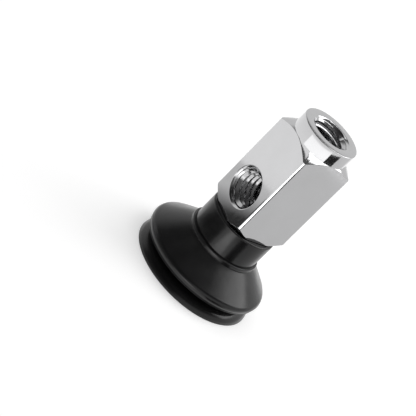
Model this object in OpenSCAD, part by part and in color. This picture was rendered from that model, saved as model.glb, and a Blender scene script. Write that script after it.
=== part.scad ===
// Square vacuum connector block with a bellows suction cup.
// Z = 0 is the plane of the sealing lip, +Z points up through the top port.

/* [Connector block] */
// Width across the flats of the square bar
across_flats = 8.0; // [7.6:0.1:9.5]
// Length of the block from its lower end face to its top face
block_len = 15.9; // [15:0.1:22]
// Width taken off each long corner of the bar
corner_break = 0.28; // [0.1:0.02:0.5]
// Radius of the turned lower end face, which the flats cut
lower_end_r = 4.3; // [4.15:0.05:4.6]
// Radius of the turned boss on top, which the flats cut
boss_r = 4.2; // [4.1:0.05:4.6]
// Length of the turned boss
boss_len = 1.95; // [1:0.05:3]
// Angle of the turned end chamfers from the end face
end_chamfer_angle = 40; // [30:1:45]
// Bevel on the outer edge of the boss
boss_edge = 0.12; // [0.05:0.01:0.3]

/* [Ports] */
// Radius of the wall of both ports, the nominal radius of their M5 thread
port_r = 2.5; // [2.1:0.05:2.6]
// Height of the side port's axis above the lower end face
side_port_h = 4.35; // [4.3:0.05:5.5]
// Depth of the side port, without its drill point
side_port_depth = 4.4; // [3.4:0.1:4.8]
// Radius of the countersink of the side port at the flat
side_mouth_r = 2.95; // [2.8:0.05:3.3]
// Depth of the top port, without its drill point
top_port_depth = 6.5; // [4:0.1:7]
// Radius of the countersink of the top port at the end face
top_mouth_r = 2.75; // [2.7:0.05:3.1]
// Angle of a drill point from the plane across its hole
drill_point_angle = 31; // [20:1:35]

/* [Cup nipple] */
// Radius of the stem that carries the cup
stem_r = 1.95; // [1.8:0.05:2.2]
// Radius of the mushroom head
head_r = 3.0; // [2.6:0.05:3.2]
// Thickness of the mushroom head
head_t = 1.35; // [1:0.05:1.8]
// Distance from the block's lower end face to the face of the head
nipple_len = 5.4; // [4.9:0.1:5.8]
// Radius of the shank that is pressed into the block
shank_r = 1.6; // [1.4:0.05:1.7]
// Length of that shank
shank_len = 1.4; // [0.8:0.05:1.5]
// Rounding of the edges of the head
head_round = 0.3; // [0.1:0.05:0.45]
// Radius of the air passage through the nipple and the block
passage_r = 1.05; // [0.8:0.05:1.2]
// Bevel at the mouth of the air passage
passage_bevel = 0.12; // [0.05:0.01:0.25]

/* [Bellows cup] */
// Height from the sealing plane of the relaxed cup to the block's lower end face
cup_h = 10.15; // [9.9:0.05:11.8]
// Outer radius of the neck
neck_r = 4.75; // [4.4:0.05:5]
// Rounding of the neck's top edge
neck_round = 0.2; // [0.1:0.05:0.3]
// Length of the neck above its bead
neck_len = 3.7; // [3.35:0.05:3.85]
// Outer radius of the bead below the neck
bead_r = 5.2; // [5.15:0.05:5.5]
// Height of the bead
bead_h = 0.6; // [0.4:0.05:0.75]
// Depth of the fine groove under the bead
bead_groove = 0.15; // [0.05:0.01:0.25]
// How far the fold stands out beyond the edge of the lip
fold_over = 0.15; // [0:0.05:0.4]
// Height of the greatest radius of the fold above the sealing plane
fold_z = 2.8; // [2.7:0.05:3.1]
// Rounding of the fold
fold_round = 0.7; // [0.6:0.05:0.8]
// Height from the sharp lower edge of the fold to its greatest radius
fold_edge_h = 0.55; // [0.5:0.05:0.65]
// Thickness of the upper bellows wall
wall_t = 0.9; // [0.7:0.05:1.1]
// Thickness of the lower bellows wall and of the lip's root
thin_wall_t = 0.55; // [0.4:0.05:0.65]
// Depth of the groove between the fold and the lip, from the fold's edge
groove_depth = 2.25; // [2:0.05:2.4]
// Height of the bottom of that groove above the sealing plane
groove_root_z = 1.6; // [1.5:0.05:1.7]
// Rounding of the bottom of that groove
groove_round = 0.22; // [0.15:0.01:0.25]
// Outer radius of the sealing lip
lip_r = 8.55; // [8.35:0.05:9.2]
// Width of the lip's contact face
lip_edge = 0.3; // [0.15:0.05:0.5]

/* [Clearances] */
// Radial gap between the stem and the neck, in which the cup turns
swivel_gap = 0.03; // [0.01:0.01:0.08]
// Axial gap of the neck at the block and at the head
axial_gap = 0.05; // [0.02:0.01:0.1]
// Radial gap between the head and its recess in the neck
head_gap = 0.3; // [0.15:0.05:0.4]

/* [Hidden] */

$fn = 96;
arc_steps = 8;
overrun = 0.1;
// Angle at which the fold's rounding ends, and how far in its sharp lower edge lies
fold_to = -35;
fold_edge_in = 0.17;
// Angle at which the lower wall's inner face leaves the groove's rounding
inner_from = 110;
// Share of the lower wall that the rim of the fold doesn't take
split_share = 0.8;
chrome = "gainsboro";
rubber = "dimgray";

// Heights of the block, from the sealing plane
block_z = cup_h;
top_z = block_z + block_len;
boss_z = top_z - boss_len;
side_port_z = block_z + side_port_h;
half_flats = across_flats / 2;
blank_r = across_flats / sqrt(2) + overrun;
chamfer_slope = tan(end_chamfer_angle);

// Heights of the nipple
head_z = block_z - nipple_len;
head_top_z = head_z + head_t;

// The cup's profile, worked out from its top to its lip
neck_top_z = cup_h - axial_gap;
neck_seat_z = head_top_z + axial_gap;
bead_z = cup_h - neck_len;
cone_z = bead_z - bead_h;
cone_r = bead_r - bead_groove;
fold_r = lip_r + fold_over;
groove_root_r = fold_r - groove_depth;
fold_c = [fold_r - fold_round, fold_z];
fold_edge_z = fold_z - fold_edge_h;
// The upper wall runs straight from the bead's groove to touch the fold's rounding
to_fold = fold_c - [cone_r, cone_z];
cone_angle = -atan2(to_fold[1], to_fold[0]) - asin(fold_round / norm(to_fold));
wall_split_z = fold_z + fold_round + 0.3;
fold_edge = [fold_r - fold_edge_in, fold_edge_z];
groove_c = [groove_root_r + groove_round, groove_root_z];
inner_round = groove_round + thin_wall_t;

function arc(c, r, from, to, n = arc_steps) =
    [for (i = [0 : n]) let (a = from + (to - from) * i / n) c + r * [cos(a), sin(a)]];

function ellipse_arc(c, rx, ry, from, to, n = arc_steps) =
    [for (i = [0 : n]) let (a = from + (to - from) * i / n) c + [rx * cos(a), ry * sin(a)]];

// Height at radius r on the straight line from p to q
function line_z(p, q, r) = p[1] + (q[1] - p[1]) * (r - p[0]) / (q[0] - p[0]);

// Radius of the upper wall's outer and inner face at a height
function wall_outer(z) = cone_r + (cone_z - z) / tan(cone_angle);
function wall_inner(z) = wall_outer(z) - wall_t / sin(cone_angle);

// Where the lower wall's inner face leaves the groove's rounding, and the hollow of the fold
inner_start = groove_c + inner_round * [cos(inner_from), sin(inner_from)];
apex = [wall_inner(fold_z), fold_z];
// The underside of the fold meets the groove's rounding here
groove_top = groove_c + [0, groove_round];
split_r = inner_start[0] + split_share * (apex[0] - inner_start[0]);

// Section of the bar, with its long corners broken
module bar_section() {
    h = half_flats;
    b = half_flats - corner_break;
    polygon([[h, -b], [h, b], [b, h], [-b, h], [-h, b], [-h, -b], [-b, -h], [b, -h]]);
}

// The shape that turning alone would give the block
module turned_blank() {
    rotate_extrude()
        polygon([[0, block_z],
                 [lower_end_r, block_z],
                 [blank_r, block_z + (blank_r - lower_end_r) * chamfer_slope],
                 [blank_r, boss_z - (blank_r - boss_r) * chamfer_slope],
                 [boss_r, boss_z],
                 [boss_r, top_z - boss_edge],
                 [boss_r - boss_edge, top_z],
                 [0, top_z]]);
}

// A blind hole along +Z with a 45 degree countersink at z = 0 and a drill point
module port_cut(mouth_r, depth) {
    rotate_extrude()
        polygon([[0, -overrun],
                 [mouth_r + overrun, -overrun],
                 [port_r, mouth_r - port_r],
                 [port_r, depth],
                 [0, depth + port_r * tan(drill_point_angle)]]);
}

module connector_block() {
    color(chrome)
        difference() {
            intersection() {
                turned_blank();
                translate([0, 0, block_z])
                    linear_extrude(block_len)
                        bar_section();
            }
            translate([0, 0, top_z])
                rotate([180, 0, 0])
                    port_cut(top_mouth_r, top_port_depth);
            translate([0, -half_flats, side_port_z])
                rotate([-90, 0, 0])
                    port_cut(side_mouth_r, side_port_depth);
            translate([0, 0, block_z])
                cylinder(r = passage_r, h = block_len - top_port_depth);
            translate([0, 0, block_z - overrun])
                cylinder(r = shank_r, h = shank_len + overrun);
        }
}

module cup_nipple() {
    r = head_round;
    color(chrome)
        rotate_extrude()
            polygon(concat(
                [[passage_r + passage_bevel, head_z]],
                arc([head_r - r, head_z + r], r, -90, 0),
                arc([head_r - r, head_top_z - r], r, 0, 90),
                [[stem_r, head_top_z],
                 [stem_r, block_z],
                 [shank_r, block_z],
                 [shank_r, block_z + shank_len],
                 [passage_r, block_z + shank_len],
                 [passage_r, head_z + passage_bevel]]));
}

module cup_neck() {
    bore_r = stem_r + swivel_gap;
    color(rubber)
        rotate_extrude()
            polygon(concat(
                [[bore_r, neck_seat_z],
                 [bore_r, neck_top_z]],
                arc([neck_r - neck_round, neck_top_z - neck_round], neck_round, 90, 0),
                [[neck_r, bead_z]],
                arc([bead_r - bead_groove, bead_z - bead_groove], bead_groove, 90, 0),
                [[bead_r, cone_z + bead_groove],
                 [cone_r, cone_z],
                 [wall_inner(cone_z), cone_z],
                 [head_r + head_gap, neck_seat_z]]));
}

module upper_bellows_wall() {
    color(rubber)
        rotate_extrude()
            polygon([[wall_inner(cone_z), cone_z],
                     [cone_r, cone_z],
                     [wall_outer(wall_split_z), wall_split_z],
                     [wall_inner(wall_split_z), wall_split_z]]);
}

module fold_rim() {
    color(rubber)
        rotate_extrude()
            polygon(concat(
                [[wall_inner(wall_split_z), wall_split_z],
                 [wall_outer(wall_split_z), wall_split_z]],
                arc(fold_c, fold_round, 90 - cone_angle, fold_to),
                [fold_edge,
                 [split_r, line_z(groove_top, fold_edge, split_r)],
                 [split_r, line_z(inner_start, apex, split_r)],
                 apex]));
}

module lower_bellows_wall() {
    color(rubber)
        rotate_extrude()
            polygon(concat(
                [[split_r, line_z(inner_start, apex, split_r)],
                 [split_r, line_z(groove_top, fold_edge, split_r)]],
                arc(groove_c, groove_round, 90, 180),
                arc(groove_c, inner_round, 180, inner_from)));
}

module sealing_lip() {
    lip_c = [groove_c[0], 0];
    inner_to = 360 - inner_from;
    inner_end = groove_c + inner_round * [cos(inner_to), sin(inner_to)];
    inner_c = [inner_end[0], 0];
    color(rubber)
        rotate_extrude()
            polygon(concat(
                arc(groove_c, inner_round, inner_to, 180),
                arc(groove_c, groove_round, 180, 260),
                ellipse_arc(lip_c, lip_r - lip_c[0], groove_root_z - groove_round, 90, 0),
                ellipse_arc(inner_c, lip_r - lip_edge - inner_c[0], inner_end[1], 0, 80)));
}

connector_block();
cup_nipple();
cup_neck();
upper_bellows_wall();
fold_rim();
lower_bellows_wall();
sealing_lip();
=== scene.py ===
import math

import bmesh
import bpy
from mathutils import Matrix, Vector


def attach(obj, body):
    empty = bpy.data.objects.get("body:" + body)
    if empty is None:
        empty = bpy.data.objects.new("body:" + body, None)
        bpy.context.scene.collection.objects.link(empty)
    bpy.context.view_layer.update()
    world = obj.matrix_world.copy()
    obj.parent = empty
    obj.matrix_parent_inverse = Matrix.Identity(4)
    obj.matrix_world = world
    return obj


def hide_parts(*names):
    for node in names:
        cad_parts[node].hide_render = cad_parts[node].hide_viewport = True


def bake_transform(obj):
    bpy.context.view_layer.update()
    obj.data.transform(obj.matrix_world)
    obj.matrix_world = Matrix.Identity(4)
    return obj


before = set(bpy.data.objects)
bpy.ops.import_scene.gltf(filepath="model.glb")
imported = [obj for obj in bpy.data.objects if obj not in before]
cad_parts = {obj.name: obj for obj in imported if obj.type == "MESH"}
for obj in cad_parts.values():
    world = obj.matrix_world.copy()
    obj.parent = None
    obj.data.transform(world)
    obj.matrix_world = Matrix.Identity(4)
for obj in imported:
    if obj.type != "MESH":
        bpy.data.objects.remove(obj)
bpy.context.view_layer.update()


# The camera
# It stands to the front right of the part and looks down on it. Its body is turned,
# so that the connector leans up to the right of the frame.
camera_at = Vector((0.15386, -0.171346, 0.117504))
aimed_at = Vector((-0.001596, -0.004411, 0.008664))
turned_over = math.radians(44.5945)

forward = (aimed_at - camera_at).normalized()
level = forward.cross(Vector((0, 0, 1))).normalized()
above = level.cross(forward)
right = level * math.cos(turned_over) + above * math.sin(turned_over)
upward = above * math.cos(turned_over) - level * math.sin(turned_over)

camera = bpy.data.objects.new("camera", bpy.data.cameras.new("camera"))
camera.data.lens = 180.866
camera.data.sensor_width = 36
camera.data.clip_start = 0.01
camera.data.clip_end = 10
camera.matrix_world = Matrix((
    (right.x, upward.x, -forward.x, camera_at.x),
    (right.y, upward.y, -forward.y, camera_at.y),
    (right.z, upward.z, -forward.z, camera_at.z),
    (0, 0, 0, 1)))
bpy.context.scene.collection.objects.link(camera)
bpy.context.scene.camera = camera


# The studio
# A white table under a white tent with a dark ceiling. A softbox hangs behind the part and a
# small one over it, with a small lamp beside it and a strip lamp low on the table. Cards seen
# only in reflections lie around it: dark and grey ones darken the reflections, near the part
# as painted shade, and a glowing one is a painted bright reflection.
scene = bpy.context.scene
scene.view_settings.view_transform = "Standard"


def put(tree, kind, x=0, y=0, **settings):
    """A node of a kind in a material, with its settings by name."""
    made = tree.nodes.new("ShaderNode" + kind)
    made.location = (x, y)
    for name, value in settings.items():
        setattr(made, name, value)
    return made


def spread_over(tree, value, low, high, start, end, x=0, y=0):
    """The value spread from the range low to high over the range start to end."""
    ranged = put(tree, "MapRange", x, y)
    for name, number in zip(("From Min", "From Max", "To Min", "To Max"),
                            (low, high, start, end)):
        ranged.inputs[name].default_value = number
    tree.links.new(value, ranged.inputs["Value"])
    return ranged.outputs["Result"]


def worked_out(tree, operation, first, second, x=0, y=0):
    """One sum of two values of a material."""
    sum_of = put(tree, "Math", x, y, operation=operation)
    for value, socket in zip((first, second), sum_of.inputs):
        if isinstance(value, (int, float)):
            socket.default_value = value
        else:
            tree.links.new(value, socket)
    return sum_of.outputs[0]


tent = bpy.data.worlds.new("white tent")
tent.use_nodes = True
scene.world = tent
tree = tent.node_tree
tree.nodes.clear()
path = put(tree, "LightPath", -1100, 500)
towards = put(tree, "TexCoord", -1300, 0)
height = put(tree, "SeparateXYZ", -1100, 100)
tree.links.new(towards.outputs["Generated"], height.inputs["Vector"])
ceiling = spread_over(tree, height.outputs["Z"], low=0.46, high=0.66,
                      start=0.92, end=0.13, x=-900, y=100)
facing = put(tree, "VectorMath", -1100, -150, operation="DOT_PRODUCT")
facing.inputs[1].default_value = (0, -0.93, 0.36)
tree.links.new(towards.outputs["Generated"], facing.inputs[0])
room = spread_over(tree, facing.outputs["Value"], low=0.55, high=0.78,
                   start=1.0, end=0.18, x=-900, y=-150)
mirrored = worked_out(tree, "MULTIPLY", ceiling, room, -700, 0)
open_view = worked_out(tree, "MAXIMUM", path.outputs["Is Camera Ray"],
                       path.outputs["Is Transmission Ray"], -900, 500)
plain = spread_over(tree, open_view, low=0, high=1, start=0.62, end=1.0, x=-700, y=500)
more = worked_out(tree, "SUBTRACT", mirrored, plain, -500, 100)
share = worked_out(tree, "MULTIPLY", more, path.outputs["Is Glossy Ray"], -350, 200)
glow = put(tree, "Background")
tree.links.new(worked_out(tree, "ADD", plain, share, -200, 300), glow.inputs["Strength"])
shown = put(tree, "OutputWorld", 250)
tree.links.new(glow.outputs["Background"], shown.inputs["Surface"])


def matt(name, shade):
    """A plain matt surface of one grey."""
    made = bpy.data.materials.new(name)
    made.use_nodes = True
    shader = made.node_tree.nodes["Principled BSDF"]
    shader.inputs["Base Color"].default_value = (shade, shade, shade, 1)
    shader.inputs["Roughness"].default_value = 0.9
    shader.inputs["Specular IOR Level"].default_value = 0.1
    return made


table_top = bpy.data.meshes.new("table top")
table_top.from_pydata([(-1, -1, 0), (1, -1, 0), (1, 1, 0), (-1, 1, 0)], [], [(0, 1, 2, 3)])
table = bpy.data.objects.new("table", table_top)
table.location.z = -0.00002
scene.collection.objects.link(table)
white_table = matt("white table", shade=0.86)
tree = white_table.node_tree
shader = tree.nodes["Principled BSDF"]
shader.inputs["Emission Color"].default_value = (1, 1, 1, 1)
path = put(tree, "LightPath", -900, 300)
seen = worked_out(tree, "MAXIMUM", path.outputs["Is Camera Ray"],
                  path.outputs["Is Glossy Ray"], -700, 300)
seen = worked_out(tree, "MAXIMUM", seen, path.outputs["Is Transmission Ray"], -500, 300)
lift = spread_over(tree, seen, low=0, high=1, start=0, end=0.42, x=-300, y=300)
tree.links.new(lift, shader.inputs["Emission Strength"])
table_top.materials.append(white_table)


def card(name, start, end, near, far, shade, glow=0):
    """A flat card on the table between two compass angles and two radii in millimetres, which
    only shows in reflections. A glow makes it a painted bright reflection, though it is no
    lamp."""
    steps = 24
    verts, faces = [], []
    for step in range(steps + 1):
        angle = math.radians(start + (end - start) * step / steps)
        for radius in (near, far):
            verts.append((radius * math.cos(angle) / 1000, radius * math.sin(angle) / 1000, 0))
        if step:
            faces.append((2 * step - 2, 2 * step - 1, 2 * step + 1, 2 * step))
    mesh = bpy.data.meshes.new(name)
    mesh.from_pydata(verts, [], faces)
    made = bpy.data.objects.new(name, mesh)
    made.location.z = 0.0001
    surface = matt(name, shade)
    shader = surface.node_tree.nodes["Principled BSDF"]
    shader.inputs["Emission Color"].default_value = (1, 1, 1, 1)
    shader.inputs["Emission Strength"].default_value = glow
    mesh.materials.append(surface)
    scene.collection.objects.link(made)
    made.visible_camera = False
    made.visible_diffuse = False
    made.visible_shadow = False
    made.visible_transmission = False
    return made


# These dark cards show only in reflections. The inner black flag reaches to the cup as painted
# shade there; the others darken the boss's reflection
card("black flag", -16, 9, 12, 31, shade=0.02)
card("wide black flag", -32, 9, 31, 60, shade=0.02)
card("far black flag", 2, 37, 61, 130, shade=0.02)
# The grey cards show only in reflections, as painted shade on the table seen in the plated +X
# flat
card("grey card", 12, 76, 16, 60, shade=0.89)
card("far grey card", 37, 90, 61, 130, shade=0.92)
# This card glows though it is no lamp: a painted bright reflection in the plating
card("glowing white card", -89, 2, 62, 150, shade=0.9, glow=0.9)
# A dark card seen only in reflections: painted shade on the table beside the cup, darkest in
# an oval patch close in front of the side flat with the port
painted_shade_card = card("soft painted shade card", -158, -68, 16, 40, shade=0.04)
tree = painted_shade_card.data.materials[0].node_tree
spot = put(tree, "TexCoord", -1100)
oval = put(tree, "Mapping", -900)
oval.inputs["Location"].default_value = (0, 0.0095, 0)
oval.inputs["Scale"].default_value = (1, 0.5, 1)
reach = put(tree, "VectorMath", -700, operation="LENGTH")
tree.links.new(spot.outputs["Object"], oval.inputs["Vector"])
tree.links.new(oval.outputs["Vector"], reach.inputs[0])
painted_shade_fade = spread_over(tree, reach.outputs["Value"], low=0.0145, high=0.0205,
                     start=0.04, end=0.95, x=-500)
tree.links.new(painted_shade_fade, tree.nodes["Principled BSDF"].inputs["Base Color"])


def soft_lamp(name, centre, towards, wide, tall, radiance):
    """A flat lamp that shows in reflections but not to the camera."""
    lamp = bpy.data.lights.new(name, "AREA")
    lamp.shape = "RECTANGLE"
    lamp.size = wide
    lamp.size_y = tall
    lamp.energy = radiance * math.pi * wide * tall
    made = bpy.data.objects.new(name, lamp)
    made.location = centre
    made.rotation_mode = "QUATERNION"
    made.rotation_quaternion = (Vector(towards) - Vector(centre)).to_track_quat("-Z", "Y")
    made.visible_camera = False
    scene.collection.objects.link(made)
    return made


def low_lamp(name, compass, near, far, wide, radiance):
    """A lamp that lies on the table and shines up, between two radii."""
    angle = math.radians(compass)
    out = (near + far) / 2
    lying = soft_lamp(name, (out * math.cos(angle), out * math.sin(angle), 0.0004),
                      (0, 0, 1), far - near, wide, radiance)
    lying.rotation_mode = "XYZ"
    lying.rotation_euler = (math.pi, 0, angle)


soft_lamp("softbox", (0.034, 0.160, 0.205), (0, 0, 0.012),
          wide=0.150, tall=0.217, radiance=2.3)
soft_lamp("small softbox", (0.0088, 0.0042, 0.073), (0.0035, -0.0025, 0.024),
          wide=0.010, tall=0.024, radiance=1.9)
soft_lamp("small reflector", (-0.015, -0.010, 0.070), (0.002, -0.0037, 0.024),
          wide=0.013, tall=0.036, radiance=0.9)
low_lamp("low strip", -43, near=0.017, far=0.060, wide=0.009, radiance=1.7)


# The connector block
# A square bar of brass, turned at both ends to a chamfer and, on top, to a short
# round boss, drilled and tapped from the top and from one flat, then plated bright.
def polyline(*corners):
    """The line through (radius, height) corners; a third number rounds a corner,
    in steps of 10 degrees or less."""
    line = []
    for i, corner in enumerate(corners):
        here = Vector(corner[:2])
        if len(corner) == 2 or i in (0, len(corners) - 1):
            line.append(tuple(here))
            continue
        before = (Vector(corners[i - 1][:2]) - here).normalized()
        after = (Vector(corners[i + 1][:2]) - here).normalized()
        half_angle = math.acos(max(-1, min(1, before.dot(after)))) / 2
        centre = here + (before + after).normalized() * corner[2] / math.sin(half_angle)
        start = here + before * corner[2] / math.tan(half_angle) - centre
        end = here + after * corner[2] / math.tan(half_angle) - centre
        turn = start.angle_signed(end)
        steps = max(2, math.ceil(abs(math.degrees(turn)) / 10))
        for step in range(steps + 1):
            at = Matrix.Rotation(-turn * step / steps, 2) @ start
            line.append(tuple(centre + at))
    return line


def turned(name, line, steps=192):
    """A mesh in millimetres turned about Z, with its material to the left of the line."""
    verts, rings = [], []
    for radius, height in line:
        if radius < 1e-9:
            rings.append([len(verts)] * steps)
            verts.append((0, 0, height))
            continue
        rings.append(list(range(len(verts), len(verts) + steps)))
        for step in range(steps):
            angle = 2 * math.pi * step / steps
            verts.append((radius * math.cos(angle), radius * math.sin(angle), height))
    faces = []
    for ring, following in zip(rings, rings[1:]):
        for step in range(steps):
            beside = (step + 1) % steps
            corners = [ring[step], ring[beside], following[beside], following[step]]
            faces.append(list(dict.fromkeys(corners)))
    mesh = bpy.data.meshes.new(name)
    mesh.from_pydata(verts, [], faces)
    made = bpy.data.objects.new(name, mesh)
    scene.collection.objects.link(made)
    return made


def in_metres(piece, material):
    """Keeps the mesh that the modifiers leave, in metres and shaded smooth."""
    settled = piece.evaluated_get(bpy.context.evaluated_depsgraph_get())
    mesh = bpy.data.meshes.new_from_object(settled)
    piece.modifiers.clear()
    piece.data = mesh
    mesh.name = piece.name
    mesh.transform(Matrix.Scale(0.001, 4))
    mesh.materials.clear()
    mesh.materials.append(material)
    mesh.shade_smooth()
    return piece


def in_millimetres(tree):
    """Places on the part, in millimetres, for the textures of a material."""
    where = put(tree, "TexCoord", -1500)
    scaled = put(tree, "Mapping", -1300)
    scaled.inputs["Scale"].default_value = (1000, 1000, 1000)
    tree.links.new(where.outputs["Object"], scaled.inputs["Vector"])
    return scaled.outputs["Vector"]


def noise(tree, places, size, x, y, stretch=(1, 1, 1), detail=3.0):
    """Soft noise with features of a size in millimetres, drawn out along an axis."""
    drawn = put(tree, "Mapping", x - 200, y)
    drawn.inputs["Scale"].default_value = stretch
    cloud = put(tree, "TexNoise", x, y)
    cloud.inputs["Scale"].default_value = 1 / size
    cloud.inputs["Detail"].default_value = detail
    tree.links.new(places, drawn.inputs["Vector"])
    tree.links.new(drawn.outputs["Vector"], cloud.inputs["Vector"])
    return cloud.outputs["Fac"]


def bumped(tree, height, depth, shader, x, y, below=None):
    """A surface relief of a depth in millimetres, over another relief."""
    relief = put(tree, "Bump", x, y)
    relief.inputs["Strength"].default_value = 1.0
    relief.inputs["Distance"].default_value = depth / 1000
    tree.links.new(height, relief.inputs["Height"])
    if below is not None:
        tree.links.new(below, relief.inputs["Normal"])
    tree.links.new(relief.outputs["Normal"], shader.inputs["Normal"])
    return relief.outputs["Normal"]


def plated(name, dark, light, polish):
    """Thin plating that still shows the lines of the polished bar under it."""
    made = bpy.data.materials.new(name)
    made.use_nodes = True
    tree = made.node_tree
    shader = tree.nodes["Principled BSDF"]
    shader.inputs["Metallic"].default_value = 1.0
    places = in_millimetres(tree)
    tone = put(tree, "MixRGB", -300, 500)
    tone.inputs["Color1"].default_value = (dark, dark, dark * 1.008, 1)
    tone.inputs["Color2"].default_value = (light, light, light * 1.015, 1)
    tree.links.new(noise(tree, places, size=3.0, x=-700, y=500), tone.inputs["Fac"])
    tree.links.new(tone.outputs["Color"], shader.inputs["Base Color"])
    lines = noise(tree, places, size=0.12, x=-700, y=100, stretch=(1, 1, 0.06))
    tree.links.new(spread_over(tree, lines, 0.3, 0.7, *polish, -300, 100),
                   shader.inputs["Roughness"])
    waves = noise(tree, places, size=1.8, x=-700, y=-200, detail=1.0)
    wavy = bumped(tree, waves, depth=0.0016, shader=shader, x=-450, y=-200)
    bumped(tree, lines, depth=0.00012, shader=shader, x=-200, y=-200, below=wavy)
    return made


plating = plated("bright plating", dark=0.60, light=0.66, polish=(0.05, 0.12))
# The holes get a darker plating: partly thinner plating, partly painted shade inside the bores
tapped_plating_and_shade = plated("tapped plating and painted shade", dark=0.52, light=0.60,
                        polish=(0.08, 0.16))

across_flats = 8.0
corner_break = 0.28
block_foot = 10.15
block_top = 26.05
boss_foot = 24.02
boss_radius = 3.99
shoulder_rise = math.tan(math.radians(33))
foot_radius = 4.3
chamfer_rise = math.tan(math.radians(40))
port_radius = 2.5
side_port_height = 14.5
side_port_depth = 4.4
side_mouth = 2.75
top_port_depth = 6.5
top_mouth = 2.75
drill_point = math.tan(math.radians(31))
passage_radius = 1.05
socket_radius = 1.6
socket_depth = 1.4

half = across_flats / 2
broken = half - corner_break
bar = bmesh.new()
section = [(half, -broken), (half, broken), (broken, half), (-broken, half),
           (-half, broken), (-half, -broken), (-broken, -half), (broken, -half)]
foot = bar.faces.new([bar.verts.new((x, y, block_foot - 1)) for x, y in section])
raised = bmesh.ops.extrude_face_region(bar, geom=[foot])["geom"]
bmesh.ops.translate(bar, vec=(0, 0, block_top - block_foot + 2),
                    verts=[v for v in raised if isinstance(v, bmesh.types.BMVert)])
bmesh.ops.recalc_face_normals(bar, faces=bar.faces)
block_mesh = bpy.data.meshes.new("plated_block")
bar.to_mesh(block_mesh)
bar.free()
block = bpy.data.objects.new("plated_block", block_mesh)
scene.collection.objects.link(block)

beyond = 5.8  # further out than the corners of the bar
blank = turned("turning", [
    (0, block_foot),
    (foot_radius, block_foot),
    (beyond, block_foot + (beyond - foot_radius) * chamfer_rise),
    (beyond, boss_foot - (beyond - boss_radius) * shoulder_rise),
    (boss_radius, boss_foot),
    (boss_radius, block_top),
    (0, block_top)], steps=240)


def drilled(name, mouth, depth):
    """The hole that a port's countersink, drill and tap leave, down from z = 0."""
    return turned(name, [
        (0, -depth - port_radius * drill_point),
        (port_radius, -depth),
        (port_radius, port_radius - mouth),
        (mouth + 0.3, 0.3),
        (0, 0.3)])


top_hole = drilled("top hole", top_mouth, top_port_depth)
top_hole.location.z = block_top
side_hole = drilled("side hole", side_mouth, side_port_depth)
side_hole.location = (0, -half, side_port_height)
side_hole.rotation_euler.x = math.radians(90)
air_hole = turned("air hole", [
    (0, block_foot - 0.3),
    (socket_radius, block_foot - 0.3),
    (socket_radius, block_foot + socket_depth),
    (passage_radius, block_foot + socket_depth),
    (passage_radius, block_top - top_port_depth),
    (0, block_top - top_port_depth)], steps=96)

cuts = [("INTERSECT", blank), ("DIFFERENCE", top_hole),
        ("DIFFERENCE", side_hole), ("DIFFERENCE", air_hole)]
for operation, tool in cuts:
    cut = block.modifiers.new(tool.name, "BOOLEAN")
    cut.operation = operation
    cut.object = tool
    cut.solver = "EXACT"
settled = block.evaluated_get(bpy.context.evaluated_depsgraph_get())
block.data = bpy.data.meshes.new_from_object(settled)
block.modifiers.clear()
for _, tool in cuts:
    bpy.data.objects.remove(tool)

weld = 0.004
carved = bmesh.new()
carved.from_mesh(block.data)
bmesh.ops.remove_doubles(carved, verts=carved.verts, dist=weld)
bmesh.ops.dissolve_degenerate(carved, edges=carved.edges, dist=weld)

# Polishing has rounded the rim of the boss most, the long corners less, the rest least
edge_turn, crease_turn = 24, 8
rounding = carved.edges.layers.float.new("bevel_weight_edge")
for edge in carved.edges:
    turn = math.degrees(edge.calc_face_angle(0))
    if turn > edge_turn and edge.is_convex:
        low, high = sorted(v.co.z for v in edge.verts)
        on_rim = low > block_top - 0.01 and edge.verts[0].co.xy.length > 3.5
        on_corner = high - low > 3
        edge[rounding] = 1.0 if on_rim else 0.8 if on_corner else 0.4
    elif turn > crease_turn:
        edge.smooth = False
carved.to_mesh(block.data)
carved.free()
edges = block.modifiers.new("plated edges", "BEVEL")
edges.width = 0.12
edges.segments = 3
edges.limit_method = "WEIGHT"
edges.use_clamp_overlap = False
in_metres(block, plating)
block.data.materials.append(tapped_plating_and_shade)
for vert in block.data.vertices:
    vert.co.x = max(-half, min(half, vert.co.x * 1000)) / 1000
    vert.co.y = max(-half, min(half, vert.co.y * 1000)) / 1000
    vert.co.z = max(block_foot, min(block_top, vert.co.z * 1000)) / 1000

# The countersinks keep the bright plating. The walls below them are rougher and darker, partly
# from thinner plating and partly as painted shade in the holes
lined = port_radius + 0.02
for face in block.data.polygons:
    x, y, z = face.center * 1000
    in_top_port = math.hypot(x, y) < lined and 15 < z < block_top - 0.3
    in_side_port = math.hypot(x, z - side_port_height) < lined and 0.5 - half < y < 2.5
    if in_top_port or in_side_port:
        face.material_index = 1
even = block.modifiers.new("even shading", "WEIGHTED_NORMAL")
even.weight = 80
even.keep_sharp = True
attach(block, "holder")
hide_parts("connector_block")


# The threads of the two ports
# M5 x 0.8 threads cut with a tap into the top and side ports. The crests end in the
# countersinks and run out into the wall above the drill points.
thread_pitch = 0.8


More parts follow.
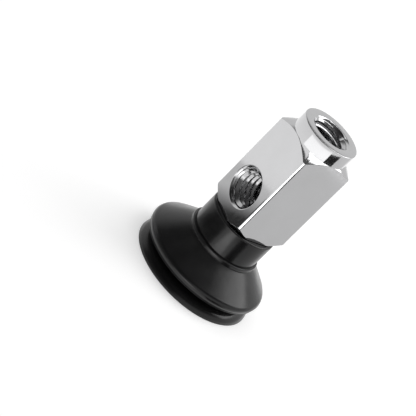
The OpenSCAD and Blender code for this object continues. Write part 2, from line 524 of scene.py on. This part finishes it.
def tapped(name, mouth, depth):
    """The ridge of a right-hand thread, down from z = 0, in millimetres."""
    around = 72
    run_out = 0.3
    fading_turns = 0.6
    share_of_pitch = 0.98
    behind_wall = 0.06
    # Along the bore and inwards from its wall, over one ridge
    shape = [(-0.39, behind_wall), (-0.35, 0.0), (-0.30, -0.045), (-0.105, -0.40),
             (-0.075, -0.428), (-0.04, -0.433), (0.04, -0.433), (0.075, -0.428),
             (0.105, -0.40), (0.30, -0.045), (0.35, 0.0), (0.39, behind_wall)]
    total = int((depth - run_out) / thread_pitch * around)
    verts, faces = [], []
    for step in range(total + 1):
        angle = 2 * math.pi * step / around
        fade = min(1, (total - step) / (fading_turns * around))
        for offset, inward in shape:
            sunk = step / around * thread_pitch + offset * share_of_pitch
            radius = port_radius + (inward * fade if inward < 0 else inward)
            radius = min(max(radius, mouth - sunk + 0.01), port_radius + behind_wall)
            sunk = min(max(sunk, mouth - port_radius - behind_wall), depth)
            verts.append((radius * math.cos(angle), -radius * math.sin(angle), -sunk))
    wide = len(shape)
    for step in range(total):
        for i in range(wide):
            beside = (i + 1) % wide
            a, b = step * wide + i, step * wide + beside
            faces.append((a, b, b + wide, a + wide))
    faces.append(tuple(range(wide - 1, -1, -1)))
    faces.append(tuple(range(total * wide, total * wide + wide)))
    mesh = bpy.data.meshes.new(name)
    mesh.from_pydata(verts, [], faces)
    # Where the ridge starts in the countersink, its section shrinks to a point
    merge = 0.0005
    joined = bmesh.new()
    joined.from_mesh(mesh)
    bmesh.ops.remove_doubles(joined, verts=joined.verts, dist=merge)
    bmesh.ops.dissolve_degenerate(joined, edges=joined.edges, dist=merge)
    joined.to_mesh(mesh)
    joined.free()
    ridge = bpy.data.objects.new(name, mesh)
    scene.collection.objects.link(ridge)
    return ridge


for name, place, mouth, depth in [
        ("top_thread", Matrix.Translation((0, 0, block_top)), top_mouth, top_port_depth),
        ("side_thread", Matrix.Translation((0, -half, side_port_height))
         @ Matrix.Rotation(math.radians(90), 4, "X"), side_mouth, side_port_depth)]:
    ridge = tapped(name, mouth, depth)
    ridge.data.transform(place)
    in_metres(ridge, tapped_plating_and_shade)
    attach(ridge, "holder")


# The nipple
# A turned and plated mushroom that holds the cup. Its shank is pressed into the
# block's lower end, and the air passage runs through it.
head_radius = 3.0
head_foot = 4.75
head_top = 6.1
stem_radius = 1.95
mouth_chamfer = 0.12

nipple = turned("nipple", polyline(
    (passage_radius, block_foot + socket_depth),
    (passage_radius, head_foot + mouth_chamfer, 0.03),
    (passage_radius + mouth_chamfer, head_foot, 0.03),
    (head_radius, head_foot, 0.3),
    (head_radius, head_top, 0.3),
    (stem_radius, head_top, 0.08),
    (stem_radius, block_foot + 0.01)))
in_metres(nipple, plating)
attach(nipple, "holder")
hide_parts("cup_nipple")


# The cup's neck
# The thick sleeve of the rubber cup, stretched over the nipple's stem, with the
# recess for its head inside. The whole cup is one moulding of black rubber.
def cup_rubber():
    """Satin black rubber with the fine grain of its mould and a little bloom."""
    made = bpy.data.materials.new("cup rubber")
    made.use_nodes = True
    tree = made.node_tree
    shader = tree.nodes["Principled BSDF"]
    shader.inputs["Specular IOR Level"].default_value = 0.45
    places = in_millimetres(tree)
    bloom = put(tree, "MixRGB", -300, 500)
    bloom.inputs["Color1"].default_value = (0.0045, 0.0045, 0.0047, 1)
    bloom.inputs["Color2"].default_value = (0.0085, 0.0085, 0.0090, 1)
    cloudy = noise(tree, places, size=2.2, x=-700, y=500, detail=5.0)
    tree.links.new(cloudy, bloom.inputs["Fac"])
    tree.links.new(bloom.outputs["Color"], shader.inputs["Base Color"])
    patches = noise(tree, places, size=1.5, x=-700, y=200, detail=4.0)
    satin = spread_over(tree, patches, low=0.3, high=0.7, start=0.19, end=0.27, x=-300, y=200)
    tree.links.new(satin, shader.inputs["Roughness"])
    grain = noise(tree, places, size=0.06, x=-700, y=-100, detail=2.0)
    grained = bumped(tree, grain, depth=0.0008, shader=shader, x=-450, y=-100)
    swells = noise(tree, places, size=0.9, x=-700, y=-400, detail=1.0)
    bumped(tree, swells, depth=0.004, shader=shader, x=-200, y=-100, below=grained)
    return made


rubber = cup_rubber()

neck_radius = 4.75
neck_top = 10.10
neck_bore = 1.98
recess_radius = 3.3
recess_top = 6.15
bead_top = 6.45
cone_top = 5.85
cone_radius = 5.05
cone_angle = 36.46
cone_slope = math.tan(math.radians(cone_angle))
wall_across = 1.5145  # the cone's wall, measured level


def cone_outer(height):
    """Radius of the bellows cone's outer face at a height."""
    return cone_radius + (cone_top - height) / cone_slope


def cone_inner(height):
    """Radius of the bellows cone's inner face at a height."""
    return cone_outer(height) - wall_across


def moulded(name, line, *nodes):
    """A turned piece of the rubber moulding that stands for solids of the cup."""
    made = in_metres(turned(name, line), rubber)
    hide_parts(*nodes)
    return made


neck = moulded("neck", polyline(
    (neck_radius, bead_top),
    (neck_radius, neck_top, 0.2),
    (neck_bore, neck_top, 0.1),
    (neck_bore, recess_top, 0.1),
    (recess_radius, recess_top, 0.1),
    (cone_inner(cone_top), cone_top)), "cup_neck")
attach(neck, "neck")


# The bead and the root of the bellows
# A fine bead rings the foot of the neck, with a groove under it. Here the cup
# bends when it tilts to a workpiece.
bead_radius = 5.08
root_foot = 5.5
inner_root_foot = 4.3

root = moulded("bead_and_root", polyline(
    (cone_outer(root_foot), root_foot),
    (cone_radius, cone_top, 0.04),
    (bead_radius, cone_top + 0.15, 0.06),
    (bead_radius, bead_top, 0.15),
    (neck_radius, bead_top)), "cup_neck", "upper_bellows_wall")
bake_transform(root)
root_inside = moulded("root_inside", [
    (cone_inner(height), height) for height in (cone_top, 5.4, 4.95, inner_root_foot)
    ], "cup_neck", "upper_bellows_wall")
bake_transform(root_inside)


# The bellows cone
# The upper wall of the single fold, a plain cone of even thickness. It flattens
# when the cup is pressed on a workpiece or draws itself down on it.
def straight(first, last, steps=12):
    """Points on the straight line from first to last, for a wall that bends."""
    return [tuple(Vector(first).lerp(Vector(last), i / steps)) for i in range(steps + 1)]


rim_top = 3.4
inner_rim_top = 2.8

cone = moulded("cone", straight(
    (cone_outer(rim_top), rim_top),
    (cone_outer(root_foot), root_foot)), "upper_bellows_wall", "fold_rim")
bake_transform(cone)
cone_inside = moulded("cone_inside", straight(
    (cone_inner(inner_root_foot), inner_root_foot),
    (cone_inner(inner_rim_top), inner_rim_top)), "upper_bellows_wall", "fold_rim")
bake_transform(cone_inside)


# The rim of the fold
# The thick outer edge of the bellows, rounded above. A fine groove and a sharp
# edge run round it below, where the two halves of the mould met.
def arc(centre, across, tall, start, end, steps):
    """Points on a round or oval arc between two angles in degrees."""
    points = []
    for i in range(steps + 1):
        angle = math.radians(start + (end - start) * i / steps)
        points.append((centre[0] + across * math.cos(angle),
                       centre[1] + tall * math.sin(angle)))
    return points


fold_centre = (8.0, 2.8)
fold_round = 0.7
mould_line_radius = 8.57
under_fold = (7.4117, 1.9915)

rim = moulded("fold_rim_edge", polyline(
    under_fold,
    (mould_line_radius, 2.22, 0.03),
    (mould_line_radius, 2.28, 0.02),
    (8.46, 2.36, 0.05),
    *arc(fold_centre, fold_round, fold_round, -30, 90 - cone_angle, 28),
    (cone_outer(rim_top), rim_top)), "fold_rim")
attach(rim, "fold")


# The lower wall
# The thin wall under the fold turns back through a round groove to the lip, and
# lets the lip move up a little by itself.
groove_centre = (6.67, 1.6)
groove_round = 0.22
groove_top = (6.67, 1.82)
inner_round = 0.77
inner_radius = 6.4066

lower_wall = moulded("lower_wall", [
    *arc(groove_centre, groove_round, groove_round, 270, 90, 24),
    *straight(groove_top, under_fold, 4)[1:]], "fold_rim", "lower_bellows_wall")
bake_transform(lower_wall)
lower_wall_inside = moulded("lower_wall_inside", [
    *straight((7.663, inner_rim_top), (inner_radius, 2.3236), 6),
    *arc(groove_centre, inner_round, inner_round, 110, 250, 28)[1:]
    ], "fold_rim", "lower_bellows_wall")
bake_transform(lower_wall_inside)


# The sealing lip
# The thin flared edge that lies on the workpiece. Its outer face curves down to
# a narrow flat ring, and its inner face is hollow.
hollow_top = 0.8764
lip_top = 1.38
ring_inner = 8.28
ring_outer = 8.52
edge_lift = 0.012

lip = moulded("sealing_edge", [
    (inner_radius, hollow_top),
    *arc((inner_radius, 0), 1.8434, hollow_top, 86, 6, 30),
    (8.25, edge_lift),
    (ring_inner, 0),
    (ring_outer, 0),
    (8.54, edge_lift),
    *arc((groove_centre[0], 0), 1.88, lip_top, 3, 90, 30)], "sealing_lip")
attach(lip, "lip")
